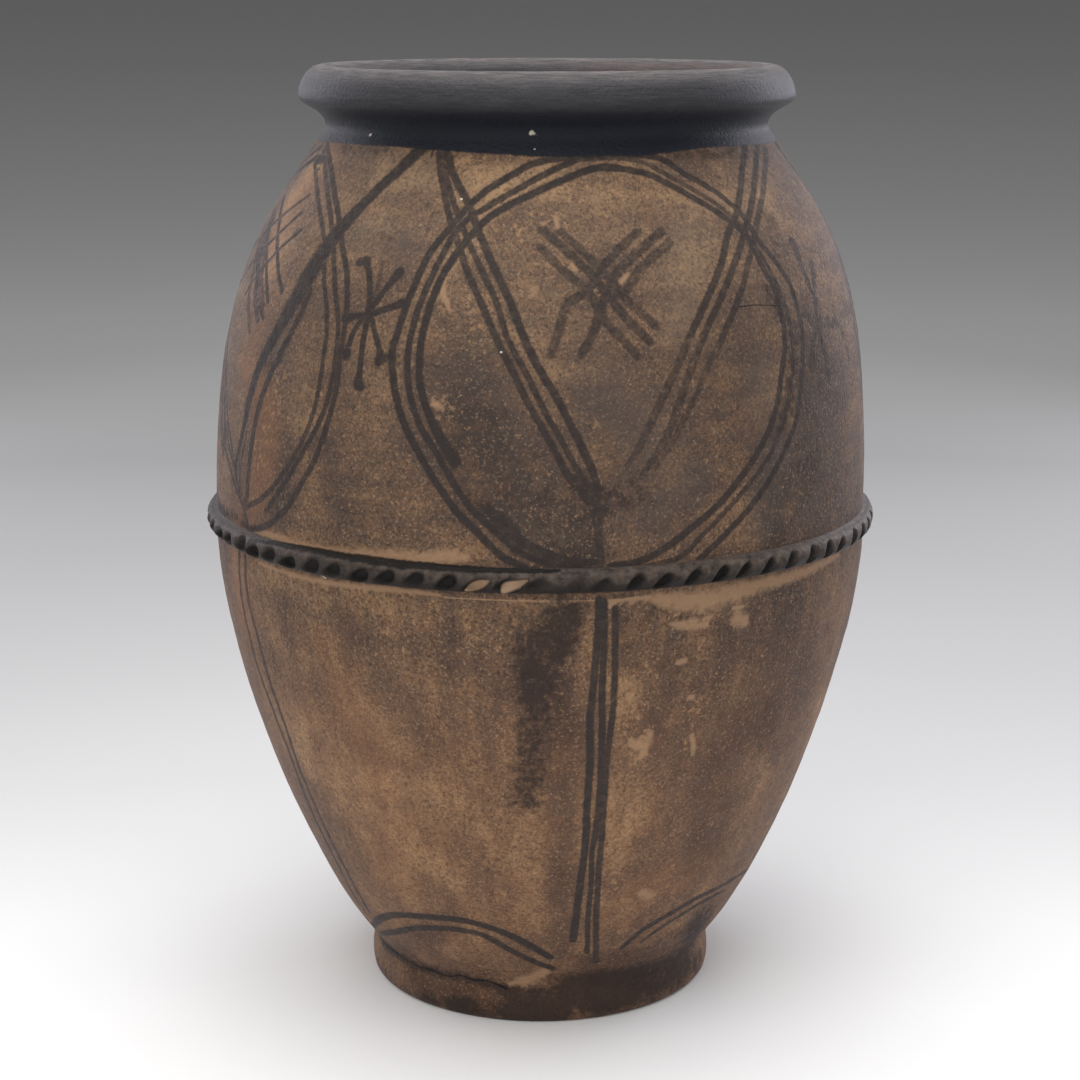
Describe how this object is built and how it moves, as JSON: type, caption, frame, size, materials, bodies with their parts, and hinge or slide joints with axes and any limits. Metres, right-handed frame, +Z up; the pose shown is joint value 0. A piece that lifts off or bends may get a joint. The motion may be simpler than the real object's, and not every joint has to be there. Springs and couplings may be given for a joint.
{
  "type": "painted earthenware jar",
  "caption": "Tall hollow storage jar with an open mouth, rolled lip, barrel-shaped body, notched cordon and small flat foot.",
  "frame": {"origin": "centre of the foot's underside, on the surface the jar stands on", "axes": "+Z up along the jar's axis, -Y towards the side with the lattice in a ring"},
  "size_m": [0.5074, 0.5078, 0.7],
  "materials": {
    "painted_earthenware": "burnished low-fired clay, mottled brown, with brushed black-brown slip on the lip and in the pattern"
  },
  "bodies": {
    "root": {"jar": "painted_earthenware"}
  },
  "joints": []
}
